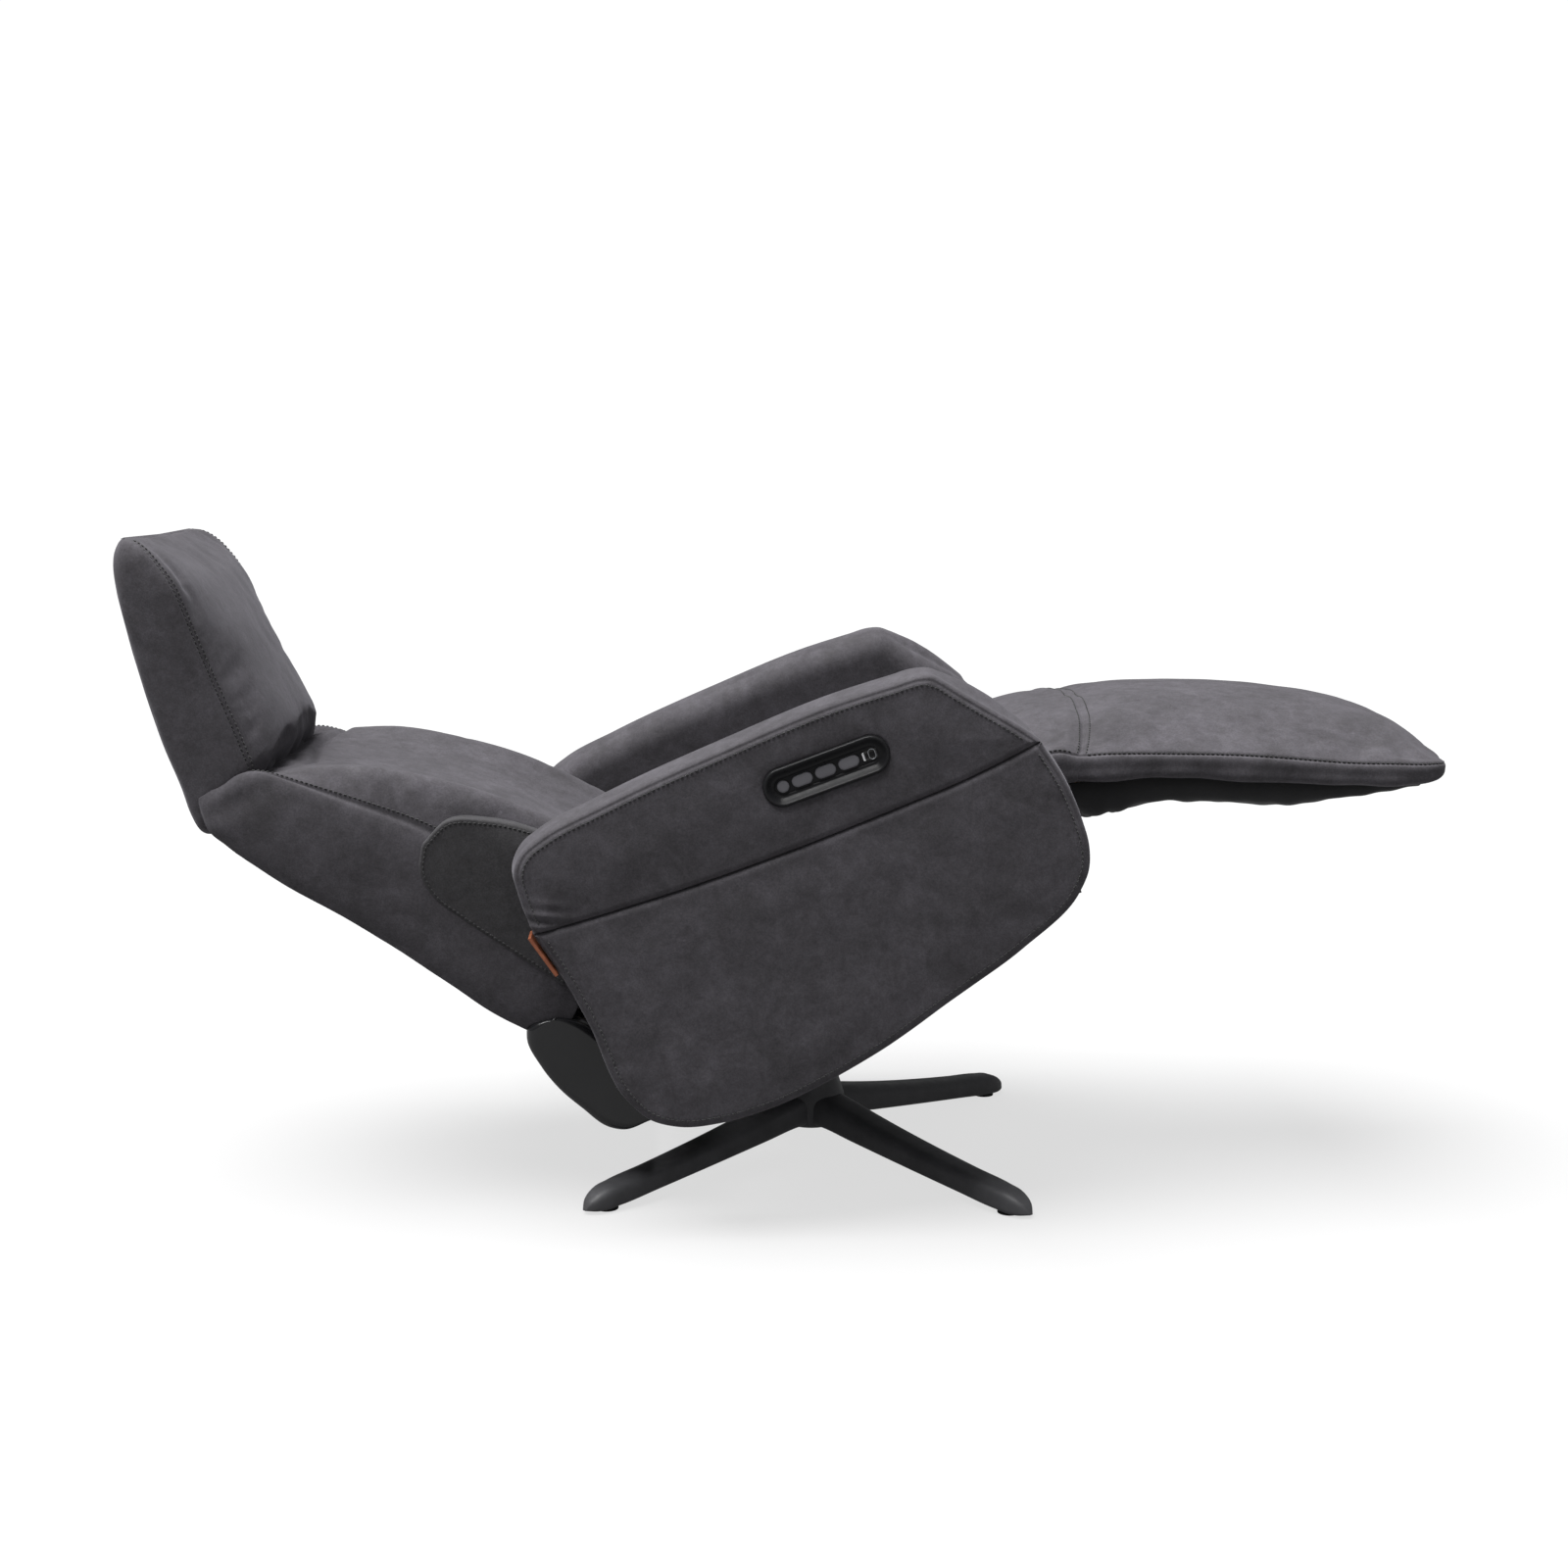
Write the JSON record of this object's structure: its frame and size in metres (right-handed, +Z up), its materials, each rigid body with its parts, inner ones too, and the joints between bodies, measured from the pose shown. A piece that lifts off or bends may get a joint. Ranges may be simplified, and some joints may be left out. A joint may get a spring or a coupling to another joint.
{
  "type": "recliner armchair",
  "caption": "Power recliner armchair: swivel star base, tilting seat body with arms, reclining back, flexing headrest and folding leg rest, soft matte upholstery.",
  "frame": {"origin": "on the floor, under the middle of the chair's bounding box; the swivel axis is 41 mm ahead of it", "axes": "+X to the front, +Y to the sitter's left, +Z up"},
  "size_m": [1.5706, 0.702, 0.8159],
  "materials": {
    "upholstery": "matt napped microfibre, anthracite, mottled",
    "dark_upholstery": "smooth dark lining and side fabric",
    "gloss_black_plastic": "glossy black",
    "button_plastic": "satin grey",
    "powder_black": "cast aluminium with a matt black powder coat",
    "frame_steel": "black painted steel",
    "bright_steel": "turned steel",
    "plywood": "bare plywood",
    "nylon": "off-white nylon",
    "rubber": "black rubber",
    "tan_leather": "cognac leather"
  },
  "bodies": {
    "base": {"base_hub": "powder_black", "base_arm_1": "powder_black", "base_arm_2": "powder_black", "base_arm_3": "powder_black", "base_arm_4": "powder_black", "foot_glide_1": "rubber", "foot_glide_2": "rubber", "foot_glide_3": "rubber", "foot_glide_4": "rubber", "base_column": "powder_black", "column_bush": "nylon"},
    "swivel": {"swivel_spindle": "bright_steel", "swivel_yoke": "frame_steel", "tilt_gearmotor": "gloss_black_plastic"},
    "seat_body": {"side_rail_left": "frame_steel", "side_rail_right": "frame_steel", "front_cross_tube": "frame_steel", "rear_cross_tube": "frame_steel", "tilt_beam": "frame_steel", "tilt_pivot_pin": "bright_steel", "seat_webbing": "dark_upholstery", "seat_cushion": "upholstery", "recline_actuator": "gloss_black_plastic", "legrest_actuator": "gloss_black_plastic", "rear_cover": "gloss_black_plastic", "arm_inner_pad_left": "upholstery", "arm_inner_pad_right": "upholstery", "arm_board_left": "plywood", "arm_board_right": "plywood", "arm_lower_pad_left": "upholstery", "arm_lower_pad_right": "upholstery", "arm_upper_pad_left": "upholstery", "arm_upper_pad_right": "upholstery", "leather_tab": "tan_leather", "control_bezel": "gloss_black_plastic", "control_plate": "gloss_black_plastic", "usb_socket": "gloss_black_plastic"},
    "recline_rod": {"recline_rod": "bright_steel"},
    "legrest_rod": {"legrest_rod": "bright_steel"},
    "backrest": {"back_frame": "plywood", "back_cushion": "upholstery", "back_rear_pad": "upholstery", "back_side_pad_left": "upholstery", "back_side_pad_right": "upholstery", "back_wing_left": "dark_upholstery", "back_wing_right": "dark_upholstery"},
    "headrest": {"headrest_board": "plywood", "headrest_front_pad": "upholstery", "headrest_rear_pad": "upholstery"},
    "leg_rest": {"legrest_frame": "plywood", "legrest_pad": "upholstery", "legrest_under_cover": "dark_upholstery"},
    "power_button": {"power_button": "button_plastic"},
    "rocker_1": {"rocker_1": "button_plastic"},
    "rocker_2": {"rocker_2": "button_plastic"},
    "rocker_3": {"rocker_3": "button_plastic"}
  },
  "joints": [
    {"name": "swivel_turn", "type": "hinge", "parent": "base", "child": "swivel", "pos_m": [0.041, 0, 0.1], "axis": [0, 0, 1], "continuous": true},
    {"name": "seat_tilt", "type": "hinge", "parent": "swivel", "child": "seat_body", "pos_m": [0.091, 0, 0.27], "axis": [0, 1, 0], "range_deg": [0, 13]},
    {"name": "back_recline", "type": "hinge", "parent": "seat_body", "child": "backrest", "pos_m": [-0.18847, 0, 0.29811], "axis": [0, 1, 0], "range_deg": [0, 27]},
    {"name": "recline_rod_slide", "type": "slide", "parent": "seat_body", "child": "recline_rod", "axis": [-0.9397, 0, -0.342], "range_m": [-0.0005, 0.0385]},
    {"name": "headrest_flex", "type": "hinge", "parent": "backrest", "child": "headrest", "pos_m": [-0.69319, 0, 0.49041], "axis": [0, 1, 0], "range_deg": [-35, 0]},
    {"name": "legrest_fold", "type": "hinge", "parent": "seat_body", "child": "leg_rest", "pos_m": [0.3216, 0, 0.51356], "axis": [0, 1, 0], "range_deg": [0, 52]},
    {"name": "legrest_rod_slide", "type": "slide", "parent": "seat_body", "child": "legrest_rod", "axis": [0.9397, 0, 0.342], "range_m": [-0.0735, 0.0005]},
    {"name": "power_press", "type": "slide", "parent": "seat_body", "child": "power_button", "axis": [0, 1, 0], "range_m": [0, 0.0015], "stiffness_N_per_m": 600},
    {"name": "rocker_1_press", "type": "hinge", "parent": "seat_body", "child": "rocker_1", "pos_m": [0.00668, -0.338, 0.5426], "axis": [-0.342, 0, 0.9397], "range_deg": [-3, 3], "stiffness_Nm_per_rad": 0.6},
    {"name": "rocker_2_press", "type": "hinge", "parent": "seat_body", "child": "rocker_2", "pos_m": [0.03581, -0.338, 0.5532], "axis": [-0.342, 0, 0.9397], "range_deg": [-3, 3], "stiffness_Nm_per_rad": 0.6},
    {"name": "rocker_3_press", "type": "hinge", "parent": "seat_body", "child": "rocker_3", "pos_m": [0.06494, -0.338, 0.56381], "axis": [-0.342, 0, 0.9397], "range_deg": [-3, 3], "stiffness_Nm_per_rad": 0.6}
  ],
  "couplings": [
    {"joint": "recline_rod_slide", "follows": "back_recline", "m_per_rad": 0.079262},
    {"joint": "legrest_rod_slide", "follows": "legrest_fold", "m_per_rad": -0.079536}
  ]
}
